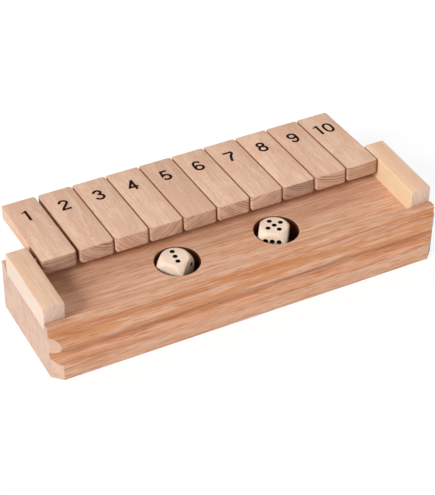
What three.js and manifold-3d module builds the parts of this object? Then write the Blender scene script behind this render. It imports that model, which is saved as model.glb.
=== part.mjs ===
// Shut the box game: a moulded wooden tray with two pale cheeks, ten number tiles that flip on one
// steel rod, and two dice that rest in wells. Millimetres, +Z up, +X to the right, front edge at -Y.
// The origin is the centre of the tray's flat underside.

import * as THREE from 'three';
import { mergeVertices } from 'three/addons/utils/BufferGeometryUtils.js';
import Module from 'manifold-3d';

const wasm = await Module();
wasm.setup();

// Tray: outside sizes and the channel that is cut along its top
const trayLength = 280;
const trayDepth = 82;
const trayHeight = 38.5;
const floorDrop = 4.7;
const frontLipWidth = 5.6;
const rearLipWidth = 6.8;
const lipEase = 0.8;
const rearFootEase = 1;
const rearCornerEase = 1.2;
const cornerCut = 6.6;

// Moulded front edge, from the top: set-back lip, hollow, half-round bead, step, cove, square foot
const lipSetback = 7.6;
const lipNoseEase = 1.2;
const footHeight = 12.1;
const coveRadius = 7;
const coveStep = 1.6;
const beadRadius = 5.8;
const beadSetback = 0.5;
const footTopEase = 0.5;
const footBottomEase = 1.4;
const coveEndAngle = 80;

// Wells for the dice: room round a die, and how far a die stands out of the tray floor
const wellClearance = 1.95;
const dieProud = 3.9;
const wellSpacing = 72.8;
const wellsShiftX = -0.8;
const wellFromFront = 36.8;
const wellEase = 0.4;

// Cheeks at the two ends
const cheekWidth = 15;
const cheekHeight = 16;
const cheekEase = 0.9;
const cheekCorner = 1.6;

// Hidden pegs under the cheeks
const pegRadius = 3;
const pegDepthInTray = 11;
const pegDepthInCheek = 9;
const pegEase = 0.8;
const frontPegFromCheekEnd = 12;
const rearPegFromRod = 9;

// Rod
const rodRadius = 1.5;
const rodFromRear = 17.6;
const rodAboveLips = 6.6;
const rodDepthInCheek = 8.5;
const rodEndEase = 0.4;

// Tiles: they share the length between the cheeks, less the gaps
const tileCount = 10;
const tileLength = 71;
const tileThickness = 10.7;
const tileFrontReach = 10;
const tileCorner = 1.8;
const tileEase = 1.2;
const gapBeforeFirstTile = 1.8;
const gapAfterFirstTile = 2;
const gapBetweenTiles = 0.6;
const gapAfterLastTile = 1.4;

// Dice
const dieEdge = 19.6;
const dieRoundRadius = 13.3;
const pipRadius = 1.6;
const pipDepth = 0.9;
const pipSpacing = 3.7;
const dieShiftX = -1.5;
const dieShiftY = 0.45;
const leftDieTurn = -51;
const rightDieTurn = -35;

// Clearances: between seated pieces, round the rod, and what a cut runs past a face
const seatGap = 0.3;
const boreClearance = 0.3;
const overrun = 2;

// Facets
const arcSteps = 4;
const beadSteps = 14;
const coveSteps = 8;
const wellSteps = 48;
const boreSteps = 24;
const cornerSteps = 3;
const easeSteps = 2;
const dieSteps = 40;
const pipSteps = 12;
const pipRings = 8;

// Places worked out from the sizes above
const front = -trayDepth / 2;
const rear = trayDepth / 2;
const left = -trayLength / 2;
const floorZ = trayHeight - floorDrop;
const frontLipInner = front + lipSetback + frontLipWidth;
const rearLipInner = rear - rearLipWidth;
const cheekFront = frontLipInner + seatGap;
const cheekLength = rearLipInner - seatGap - cheekFront;
const cheekBase = floorZ + seatGap;
const rodY = rear - rodFromRear;
const rodZ = trayHeight + rodAboveLips;
const wellY = front + wellFromFront;
const wellRadius = dieRoundRadius + wellClearance;
const wellDepth = dieEdge + seatGap - dieProud;
const boreRadius = rodRadius + boreClearance;
const tileGaps = gapBeforeFirstTile + gapAfterFirstTile + gapBetweenTiles * (tileCount - 2)
  + gapAfterLastTile;
const tileWidth = (trayLength - cheekWidth * 2 - tileGaps) / tileCount;

// Angle, below level, of a tile whose underside rests on a lip this far from the rod
function restAngle(lipDistance) {
  const drop = rodAboveLips - seatGap;
  const reach = Math.hypot(drop, lipDistance);
  return Math.acos(tileThickness / 2 / reach) - Math.atan2(lipDistance, drop);
}
const tileTilt = restAngle(rear - lipEase - rodY);

// Solids and geometry

function toSolid(geometry) {
  const plain = geometry.clone();
  plain.deleteAttribute('normal');
  plain.deleteAttribute('uv');
  const merged = mergeVertices(plain);
  return new wasm.Manifold(new wasm.Mesh({
    numProp: 3,
    vertProperties: new Float32Array(merged.attributes.position.array),
    triVerts: new Uint32Array(merged.index.array),
  }));
}

function toGeometry(solid) {
  const mesh = solid.getMesh();
  const geometry = new THREE.BufferGeometry();
  const positions = new Float32Array((mesh.vertProperties.length / mesh.numProp) * 3);
  for (let i = 0; i < positions.length / 3; i += 1) {
    for (let axis = 0; axis < 3; axis += 1) {
      positions[i * 3 + axis] = mesh.vertProperties[i * mesh.numProp + axis];
    }
  }
  geometry.setAttribute('position', new THREE.BufferAttribute(positions, 3));
  geometry.setIndex(new THREE.BufferAttribute(new Uint32Array(mesh.triVerts), 1));
  geometry.computeVertexNormals();
  return geometry;
}

function cutFrom(solid, cutters) {
  return cutters.reduce((rest, cutter) => rest.subtract(cutter), solid);
}

function arc(centreX, centreY, radius, fromDegrees, toDegrees, steps) {
  const points = [];
  for (let i = 0; i <= steps; i += 1) {
    const degrees = fromDegrees + ((toDegrees - fromDegrees) * i) / steps;
    const angle = THREE.MathUtils.degToRad(degrees);
    points.push(new THREE.Vector2(
      centreX + radius * Math.cos(angle),
      centreY + radius * Math.sin(angle),
    ));
  }
  return points;
}

function point(x, y) {
  return new THREE.Vector2(x, y);
}

// A rectangle from its low and high corners, with round corners
function roundedRectangle(low, high, radius, steps) {
  return new THREE.Shape([
    ...arc(high.x - radius, low.y + radius, radius, -90, 0, steps),
    ...arc(high.x - radius, high.y - radius, radius, 0, 90, steps),
    ...arc(low.x + radius, high.y - radius, radius, 90, 180, steps),
    ...arc(low.x + radius, low.y + radius, radius, 180, 270, steps),
  ]);
}

// An outline extruded between two levels, with its end edges rounded inwards by ease
function easedPrism(shape, low, high, ease) {
  const geometry = new THREE.ExtrudeGeometry(shape, {
    depth: high - low - ease * 2,
    bevelEnabled: ease > 0,
    bevelThickness: ease,
    bevelSize: ease,
    bevelOffset: -ease,
    bevelSegments: easeSteps,
  });
  return geometry.translate(0, 0, low + ease);
}

// Turns a solid drawn as (Y, Z) and extruded along its own Z so that the extrusion runs along X
function layAlongX(geometry) {
  const basis = new THREE.Matrix4().makeBasis(
    new THREE.Vector3(0, 1, 0),
    new THREE.Vector3(0, 0, 1),
    new THREE.Vector3(1, 0, 0),
  );
  return geometry.applyMatrix4(basis);
}

// A round bar on the Z axis between two levels, with its ends chamfered by ease
function bar(radius, low, high, ease, steps) {
  const profile = [
    point(0, low),
    point(radius - ease, low),
    point(radius, low + ease),
    point(radius, high - ease),
    point(radius - ease, high),
    point(0, high),
  ];
  return new THREE.LatheGeometry(profile, steps);
}

function barAlongZ(radius, low, high, ease, steps) {
  return bar(radius, low, high, ease, steps).rotateX(Math.PI / 2);
}

function barAlongX(radius, low, high, ease, steps) {
  return bar(radius, low, high, ease, steps).rotateZ(-Math.PI / 2);
}

function cylinderAlongZ(radius, low, high, steps) {
  return new THREE.CylinderGeometry(radius, radius, high - low, steps)
    .rotateX(Math.PI / 2)
    .translate(0, 0, (low + high) / 2);
}

function cylinderAlongX(radius, low, high, steps) {
  return new THREE.CylinderGeometry(radius, radius, high - low, steps)
    .rotateZ(Math.PI / 2)
    .translate((low + high) / 2, 0, 0);
}

// Tray

function trayProfile() {
  const coveZ = footHeight + coveRadius;
  const beadY = front + beadSetback + beadRadius;
  const beadZ = coveZ + coveStep + beadRadius;
  const lip = front + lipSetback;
  const hollow = lip - beadY;
  return new THREE.Shape([
    ...arc(front + footBottomEase, footBottomEase, footBottomEase, 180, 270, arcSteps),
    ...arc(rear - rearFootEase, rearFootEase, rearFootEase, 270, 360, arcSteps),
    ...arc(rear - lipEase, trayHeight - lipEase, lipEase, 0, 90, arcSteps),
    ...arc(rearLipInner + lipEase, trayHeight - lipEase, lipEase, 90, 180, arcSteps),
    point(rearLipInner, floorZ),
    point(frontLipInner, floorZ),
    ...arc(frontLipInner - lipEase, trayHeight - lipEase, lipEase, 0, 90, arcSteps),
    ...arc(lip + lipNoseEase, trayHeight - lipNoseEase, lipNoseEase, 90, 180, arcSteps),
    ...arc(beadY, beadZ + beadRadius + hollow, hollow, 0, -90, arcSteps),
    ...arc(beadY, beadZ, beadRadius, 90, 270, beadSteps).slice(1),
    point(front + coveRadius, beadZ - beadRadius),
    ...arc(front, coveZ, coveRadius, 0, -coveEndAngle, coveSteps),
    point(front + footTopEase, footHeight),
    point(front, footHeight - footTopEase),
  ]);
}

// The tray seen from above: the front corners cut off, the rear corners only eased
function trayPlan() {
  const right = -left;
  return new THREE.Shape([
    point(left + cornerCut, front),
    point(right - cornerCut, front),
    point(right, front + cornerCut),
    ...arc(right - rearCornerEase, rear - rearCornerEase, rearCornerEase, 0, 90, arcSteps),
    ...arc(left + rearCornerEase, rear - rearCornerEase, rearCornerEase, 90, 180, arcSteps),
    point(left, front + cornerCut),
  ]);
}

function wellCutter(x) {
  const mouth = wellRadius + wellEase;
  const profile = [
    point(0, floorZ - wellDepth),
    point(wellRadius, floorZ - wellDepth),
    point(wellRadius, floorZ - wellEase),
    point(mouth, floorZ),
    point(mouth, floorZ + overrun),
    point(0, floorZ + overrun),
  ];
  return toSolid(new THREE.LatheGeometry(profile, wellSteps)
    .rotateX(Math.PI / 2)
    .translate(x, wellY, 0));
}

function pegPlaces() {
  const rearY = rodY - rearPegFromRod;
  return [
    { name: 'front', y: cheekFront + frontPegFromCheekEnd },
    { name: 'rear', y: rearY },
  ];
}

function pegHoleCutter(x, y) {
  return toSolid(cylinderAlongZ(
    pegRadius + seatGap,
    floorZ - pegDepthInTray - seatGap,
    cheekBase + pegDepthInCheek + seatGap,
    boreSteps,
  ).translate(x, y, 0));
}

const cheekSides = [
  { name: 'left', inward: 1, x: left + cheekWidth / 2 },
  { name: 'right', inward: -1, x: -left - cheekWidth / 2 },
];

function trayGeometry() {
  const run = layAlongX(easedPrism(trayProfile(), left, -left, 0));
  const plan = easedPrism(trayPlan(), -overrun, trayHeight + overrun, 0);
  const cutters = [-wellSpacing / 2, wellSpacing / 2].map((x) => wellCutter(x + wellsShiftX));
  for (const side of cheekSides) {
    for (const place of pegPlaces()) {
      cutters.push(pegHoleCutter(side.x, place.y));
    }
  }
  return toGeometry(cutFrom(toSolid(run).intersect(toSolid(plan)), cutters));
}

// Cheeks, pegs and rod

function cheekGeometry(side) {
  const outline = roundedRectangle(
    point(cheekFront, cheekBase),
    point(cheekFront + cheekLength, floorZ + cheekHeight),
    cheekCorner,
    cornerSteps,
  );
  const block = layAlongX(easedPrism(outline, -cheekWidth / 2, cheekWidth / 2, cheekEase))
    .translate(side.x, 0, 0);
  const innerFace = side.x + (side.inward * cheekWidth) / 2;
  const rodHoleEnd = innerFace - side.inward * (rodDepthInCheek + seatGap);
  const rodHole = cylinderAlongX(
    boreRadius,
    Math.min(rodHoleEnd, innerFace + side.inward * overrun),
    Math.max(rodHoleEnd, innerFace + side.inward * overrun),
    boreSteps,
  ).translate(0, rodY, rodZ);
  const cutters = [toSolid(rodHole)];
  for (const place of pegPlaces()) {
    cutters.push(pegHoleCutter(side.x, place.y));
  }
  return toGeometry(cutFrom(toSolid(block), cutters));
}

function pegGeometry() {
  return barAlongZ(pegRadius, floorZ - pegDepthInTray, cheekBase + pegDepthInCheek, pegEase, boreSteps);
}

function rodGeometry() {
  const end = trayLength / 2 - cheekWidth + rodDepthInCheek;
  return barAlongX(rodRadius, -end, end, rodEndEase, boreSteps);
}

// Tiles: drawn flat with the rod's axis as their own X axis

function tileGeometry() {
  const outline = roundedRectangle(
    point(-tileWidth / 2, -tileFrontReach),
    point(tileWidth / 2, tileLength - tileFrontReach),
    tileCorner,
    cornerSteps,
  );
  const slab = easedPrism(outline, -tileThickness / 2, tileThickness / 2, tileEase);
  const reach = tileWidth / 2 + overrun;
  const bore = cylinderAlongX(boreRadius, -reach, reach, boreSteps);
  return toGeometry(toSolid(slab).subtract(toSolid(bore)));
}

function tileCentreX(index) {
  const first = left + cheekWidth + gapBeforeFirstTile + tileWidth / 2;
  if (index === 0) return first;
  const second = first + tileWidth + gapAfterFirstTile;
  return second + (index - 1) * (tileWidth + gapBetweenTiles);
}

// Dice: a cube whose corners are rounded off by a sphere, with drilled pips.
// The pip places are shares of pipSpacing across a face.

const pipShares = {
  1: [[0, 0]],
  2: [[1, 1], [-1, -1]],
  3: [[-1, 1], [0, 0], [1, -1]],
  4: [[-1, -1], [-1, 1], [1, -1], [1, 1]],
  5: [[-1, -1], [-1, 1], [0, 0], [1, -1], [1, 1]],
  6: [[-1.2, -1], [0, -1], [1.2, -1], [-1.2, 1], [0, 1], [1.2, 1]],
};

const faceAxes = {
  top: [[1, 0, 0], [0, 1, 0], [0, 0, 1]],
  bottom: [[1, 0, 0], [0, -1, 0], [0, 0, -1]],
  front: [[1, 0, 0], [0, 0, 1], [0, -1, 0]],
  rear: [[-1, 0, 0], [0, 0, 1], [0, 1, 0]],
  right: [[0, 1, 0], [0, 0, 1], [1, 0, 0]],
  left: [[0, -1, 0], [0, 0, 1], [-1, 0, 0]],
};

function pipCutter(face, share) {
  const ballRadius = (pipRadius * pipRadius + pipDepth * pipDepth) / (pipDepth * 2);
  const [across, up, out] = faceAxes[face].map((axis) => new THREE.Vector3(...axis));
  const place = out.clone().multiplyScalar(dieEdge / 2 + ballRadius - pipDepth)
    .addScaledVector(across, share[0] * pipSpacing)
    .addScaledVector(up, share[1] * pipSpacing);
  const ball = new THREE.SphereGeometry(ballRadius, pipSteps, pipRings);
  ball.applyMatrix4(new THREE.Matrix4().makeBasis(across, out, up.negate()));
  return toSolid(ball.translate(place.x, place.y, place.z));
}

function dieGeometry(values) {
  const cube = toSolid(new THREE.BoxGeometry(dieEdge, dieEdge, dieEdge));
  const ball = toSolid(new THREE.SphereGeometry(dieRoundRadius, dieSteps, dieSteps / 2));
  const cutters = [];
  for (const [face, value] of Object.entries(values)) {
    for (const share of pipShares[value]) {
      cutters.push(pipCutter(face, share));
    }
  }
  return toGeometry(cutFrom(cube.intersect(ball), cutters));
}

const dice = [
  {
    name: 'die_left',
    x: -wellSpacing / 2,
    turn: leftDieTurn,
    values: { top: 3, bottom: 4, front: 1, rear: 6, right: 2, left: 5 },
  },
  {
    name: 'die_right',
    x: wellSpacing / 2,
    turn: rightDieTurn,
    values: { top: 5, bottom: 2, front: 6, rear: 1, right: 4, left: 3 },
  },
];

// Finishes

function wood(color, roughness) {
  return new THREE.MeshStandardMaterial({ color, roughness, metalness: 0 });
}

function namedMesh(name, geometry, material) {
  const mesh = new THREE.Mesh(geometry, material);
  mesh.name = name;
  return mesh;
}

// The assembled game

const game = new THREE.Group();

game.add(namedMesh('base_block', trayGeometry(), wood('#cf9a76', 0.55)));

for (const side of cheekSides) {
  game.add(namedMesh(`${side.name}_end_block`, cheekGeometry(side), wood('#ecc79b', 0.6)));
  for (const place of pegPlaces()) {
    const peg = namedMesh(`${side.name}_${place.name}_dowel`, pegGeometry(), wood('#d9b98c', 0.7));
    peg.position.set(side.x, place.y, 0);
    game.add(peg);
  }
}

const rodGroup = new THREE.Group();
rodGroup.position.set(0, rodY, rodZ);
rodGroup.add(namedMesh('pivot_rod', rodGeometry(), new THREE.MeshStandardMaterial({
  color: '#b9b7b0',
  roughness: 0.35,
  metalness: 1,
})));
game.add(rodGroup);

for (let index = 0; index < tileCount; index += 1) {
  const tile = namedMesh(`tile_${index + 1}`, tileGeometry(), wood('#deb898', 0.6));
  tile.position.set(tileCentreX(index), rodY, rodZ);
  tile.rotation.x = -tileTilt;
  game.add(tile);
}

for (const die of dice) {
  const mesh = namedMesh(die.name, dieGeometry(die.values), wood('#ece2c6', 0.45));
  mesh.position.set(
    die.x + wellsShiftX + dieShiftX,
    wellY + dieShiftY,
    floorZ - wellDepth + seatGap + dieEdge / 2,
  );
  mesh.rotation.z = THREE.MathUtils.degToRad(die.turn);
  game.add(mesh);
}

export default game;
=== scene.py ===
"""Looks of a wooden shut the box game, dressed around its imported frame.

Lengths are metres in the frame's own axes: +X to the player's right, +Y to the rear, +Z up.
Colours are linear red, green and blue.
"""

import logging
import math
from dataclasses import dataclass, replace
from enum import Enum

import bmesh
import bpy
from mathutils import Euler, Matrix, Vector


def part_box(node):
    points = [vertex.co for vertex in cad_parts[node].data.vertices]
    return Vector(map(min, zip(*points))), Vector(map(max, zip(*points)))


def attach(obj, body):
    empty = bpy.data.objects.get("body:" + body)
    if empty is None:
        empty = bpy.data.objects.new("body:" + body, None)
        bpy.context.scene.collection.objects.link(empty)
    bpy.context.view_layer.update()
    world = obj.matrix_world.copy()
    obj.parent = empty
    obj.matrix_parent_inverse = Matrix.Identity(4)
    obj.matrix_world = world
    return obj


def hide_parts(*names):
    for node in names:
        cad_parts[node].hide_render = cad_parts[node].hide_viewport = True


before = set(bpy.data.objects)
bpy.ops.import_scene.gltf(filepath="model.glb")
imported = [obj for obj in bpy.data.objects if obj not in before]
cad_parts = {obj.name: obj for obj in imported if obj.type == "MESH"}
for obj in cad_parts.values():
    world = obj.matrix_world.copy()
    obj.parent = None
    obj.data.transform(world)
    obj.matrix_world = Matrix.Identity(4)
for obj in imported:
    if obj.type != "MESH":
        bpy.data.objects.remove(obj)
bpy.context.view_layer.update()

log = logging.getLogger("shut_the_box")

Colour = tuple[float, float, float]
Pair = tuple[float, float]
# How far a rounded edge reaches, and how many flat steps it has.
Rounding = tuple[float, int]
Socket = bpy.types.NodeSocket
Thing = bpy.types.Object
Mesh = bmesh.types.BMesh

MM = 0.001
X_AXIS = Vector((1, 0, 0))
Y_AXIS = Vector((0, 1, 0))
Z_AXIS = Vector((0, 0, 1))

# Edges that turn by less than this many degrees are shaded smooth.
SMOOTH_UNDER = 32.0
# Points this near each other count as one place: in an outline, on a level, and after the cuts.
FINE = 1e-7
NEAR = 1e-6
MERGE = 2e-6

PEG_NODES = ("left_front_dowel", "left_rear_dowel", "right_front_dowel", "right_rear_dowel")
PEG_BORE = 3.3 * MM
ROD_BORE = 1.8 * MM
DRILL_SIDES = 32
CAP_STEPS = 3
# Two directions are one when their dot product is more than this.
PARALLEL = 0.999

# Where each value's pips stand on a face, in shares of the pips' spacing.
PIP_SHARES = {
    1: ((0, 0),),
    2: ((1, 1), (-1, -1)),
    3: ((-1, 1), (0, 0), (1, -1)),
    4: ((-1, -1), (-1, 1), (1, -1), (1, 1)),
    5: ((-1, -1), (-1, 1), (0, 0), (1, -1), (1, 1)),
    6: ((-1.2, -1), (0, -1), (1.2, -1), (-1.2, 1), (0, 1), (1.2, 1)),
}

# For each face of a die, the directions across it, up it and out of it.
FACE_AXES = {
    "top": ((1, 0, 0), (0, 1, 0), (0, 0, 1)),
    "bottom": ((1, 0, 0), (0, -1, 0), (0, 0, -1)),
    "front": ((1, 0, 0), (0, 0, 1), (0, -1, 0)),
    "rear": ((-1, 0, 0), (0, 0, 1), (0, 1, 0)),
    "right": ((0, 1, 0), (0, 0, 1), (1, 0, 0)),
    "left": ((0, -1, 0), (0, 0, 1), (-1, 0, 0)),
}


class Grain(Enum):
    """The direction in which a piece's fibres run, as a turn that brings them onto the X axis."""

    ALONG_TRAY = (0.0, 0.0, 0.0)
    ALONG_TILE = (0.0, 0.0, -math.pi / 2)
    UPRIGHT = (0.0, math.pi / 2, 0.0)


# Shader building


class Shader:
    """A material under construction, with short ways to add and join its nodes."""

    def __init__(self, name: str) -> None:
        """Starts an empty material that is read by place and by the direction that a face looks.

        Args:
            name: The material's name.
        """
        self.made = bpy.data.materials.new(name)
        self.made.use_nodes = True
        self.tree = self.made.node_tree
        self.tree.nodes.clear()
        where = self.node("TexCoord").outputs
        self.place, self.normal = where["Object"], where["Normal"]

    def plug(self, socket: Socket, value: object) -> None:
        """Fills an input socket.

        Args:
            socket: The input socket.
            value: An output socket to link, or a constant. A colour gets its full alpha here.
        """
        if isinstance(value, Socket):
            self.tree.links.new(value, socket)
        elif socket.type == "RGBA":
            socket.default_value = (*value, 1.0)
        else:
            socket.default_value = value

    def node(self, kind: str, settings: dict | None = None, **inputs: object) -> bpy.types.Node:
        """Adds a node whose inputs are given by name.

        Args:
            kind: The node's type, without its ShaderNode prefix.
            settings: Properties of the node itself.
            **inputs: Constants or output sockets, by name with underscores for spaces.

        Returns:
            The node.
        """
        node = self.tree.nodes.new("ShaderNode" + kind)
        for key, value in (settings or {}).items():
            setattr(node, key, value)
        for key, value in inputs.items():
            self.plug(node.inputs[key.replace("_", " ")], value)
        return node

    def join(self, kind: str, *values: object, output: int = 0, **settings: object) -> Socket:
        """Adds a node whose inputs are given in their order.

        Args:
            kind: The node's type, without its ShaderNode prefix.
            *values: Constants, output sockets, or None for inputs that are left alone.
            output: Which output is given back.
            **settings: Properties of the node itself.

        Returns:
            The node's output.
        """
        node = self.node(kind, settings)
        for socket, value in zip(node.inputs, values):
            if value is not None:
                self.plug(socket, value)
        return node.outputs[output]

    def math(self, operation: str, *values: object) -> Socket:
        """Works out one of the Math node's operations."""
        return self.join("Math", *values, operation=operation)

    def times(self, first: object, *others: object) -> Socket:
        """Multiplies numbers or sockets.

        Args:
            first: The first of them.
            *others: The others.

        Returns:
            The product.
        """
        for other in others:
            first = self.math("MULTIPLY", first, other)
        return first

    def line(self, value: object, slope: object, level: object) -> Socket:
        """Gives value * slope + level."""
        return self.math("MULTIPLY_ADD", value, slope, level)

    def ramp(self, value: object, low: float, high: float) -> Socket:
        """Gives a smooth step from 0 at low to 1 at high."""
        return self.join("MapRange", value, low, high, interpolation_type="SMOOTHSTEP")

    def mix(self, share: object, first: object, second: object) -> Socket:
        """Mixes a share of a second colour into the first."""
        return self.join("Mix", share, *[None] * 5, first, second, output=2, data_type="RGBA")

    def shade(self, colour: object, factor: object) -> Socket:
        """Multiplies a colour by a grey factor."""
        return self.join("VectorMath", colour, None, None, factor, operation="SCALE")

    def stretched(self, place: Socket, along: float, shift: float = 0.0) -> Socket:
        """Scales a place along X and shifts it to another part of the pattern."""
        jump = (shift * 7.0, shift * 13.0, shift * 17.0)
        return self.join("VectorMath", place, (along, 1.0, 1.0), jump, operation="MULTIPLY_ADD")

    def noise(self, place: Socket, scale: float, detail: float = 2.0, **inputs: object) -> Socket:
        """Reads a grey noise at a place."""
        return self.node("TexNoise", Vector=place, Scale=scale, Detail=detail, **inputs).outputs["Fac"]

    def drift(self, value: Socket, scale: float, detail: float) -> Socket:
        """Reads a grey noise that changes with one number."""
        node = self.node("TexNoise", {"noise_dimensions": "1D"}, W=value, Scale=scale, Detail=detail)
        return node.outputs["Fac"]

    def axes(self, vector: Socket) -> bpy.types.bpy_prop_collection:
        """Gives a vector's X, Y and Z."""
        return self.node("SeparateXYZ", Vector=vector).outputs

    def bump(self, height: Socket, strength: float, depth: float) -> Socket:
        """Gives the surface's direction with a relief on it."""
        return self.node("Bump", Strength=strength, Distance=depth, Height=height).outputs["Normal"]

    def finish(self, surface: Socket) -> bpy.types.Material:
        """Ends the material with its surface."""
        self.node("OutputMaterial", Surface=surface)
        return self.made

    def coat(self, **inputs: object) -> bpy.types.Material:
        """Ends the material with a Principled surface whose inputs are given by name."""
        return self.finish(self.node("BsdfPrincipled", **inputs).outputs["BSDF"])


# Finishes


@dataclass(frozen=True)
class Cut:
    """Where in the log a piece was sawn, and the painted shade and light on its sides.

    Fields:
        ring_angle: The slope of the rings on the piece's end in degrees, positive when they rise to
            the right.
        heart: The distance from the piece's middle to the log's heart, negative when the heart lies below.
        swerve: How far the fibres run out of the piece's length, in degrees about Z.
        tint: A grey factor on the whole piece.
        warmth: How much of the redder tone the piece shows, from 0 to 1.
        seed: A shift of every random pattern.
        pitch: A factor on the distance between the rings.
        end_tint: A further grey factor on the ends.
        end_share: A factor on how clear the rings are on the ends.
        side_tone: The colour that upright sides facing -X and +X lean to: painted shade in the tile gaps,
            painted light on cheeks.
        side_shares: How far the side facing -X and the one facing +X lean to it, from 0 to 1.
        edge_shares: How far the upper edges of these sides lean to it, as painted shade along the gaps.
        side_rears: The Y in front of which each side leans to it, or 0 for its whole length: a painted
            cheek shadow.
    """

    ring_angle: float = 0.0
    heart: float = 50 * MM
    swerve: float = 0.0
    tint: float = 1.0
    warmth: float = 0.3
    seed: float = 0.0
    pitch: float = 1.0
    end_tint: float = 1.0
    end_share: float = 1.0
    # Painted shade: the default tone of tile sides in the gaps between tiles.
    side_tone: Colour = (0.3, 0.1, 0.035)
    side_shares: Pair = (0.0, 0.0)
    edge_shares: Pair = (0.0, 0.0)
    side_rears: Pair = (0.0, 0.0)


@dataclass(frozen=True)
class WoodFinish:
    """A sanded wood with yearly rings, fibres, pores and broad streaks.

    Fields:
        name: The material's name.
        pale: The early wood on faces along the fibres.
        dark: The late wood on those faces.
        streak: The redder tone of the streaks.
        end_pale: The early wood on faces across the fibres.
        end_dark: The late wood on those faces.
        pore: The tone of the pores.
        ring_pitch: The distance between the rings.
        ring_strength: How clear the rings are along the fibres.
        end_ring_strength: How clear the rings are across the fibres.
        streak_width: The width of the streaks.
        streak_strength: How clear the streaks are.
        pore_strength: How clear the pores are.
        fibre_strength: How much the fibres change the tone.
        wobble: How far the rings wander, in millimetres.
        roughness: The mean roughness.
        relief: The strength of the raised grain.
        fibre_size: The width of the fibres in millimetres.
        fibre_run: How thick the fibres are for their length: small for long, fine fibres.
        pore_level: How rare the pores are, from 0.5 for many to 0.7 for few.
        patch_strength: How clear the broad warm patches are.
        end_patch: How clear they are on faces across the fibres.
        warm_front: The Y in front of which and the Z above which the streaks are stronger, or none.
    """

    name: str
    pale: Colour
    dark: Colour
    streak: Colour
    end_pale: Colour
    end_dark: Colour
    pore: Colour
    ring_pitch: float
    ring_strength: float = 0.4
    end_ring_strength: float = 0.5
    streak_width: float = 2 * MM
    streak_strength: float = 0.4
    pore_strength: float = 0.3
    fibre_strength: float = 0.4
    wobble: float = 2.0
    roughness: float = 0.5
    relief: float = 0.25
    fibre_size: float = 1.1
    fibre_run: float = 0.03
    pore_level: float = 0.6
    patch_strength: float = 0.25
    end_patch: float = 0.2
    warm_front: Pair | None = None

    def material(self, cut: Cut, grain: Grain, middle: Vector) -> bpy.types.Material:
        """Makes the material for one piece, from its place in the log, its fibres and its middle."""
        return SawnWood(self, cut, grain, middle).build()


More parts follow.
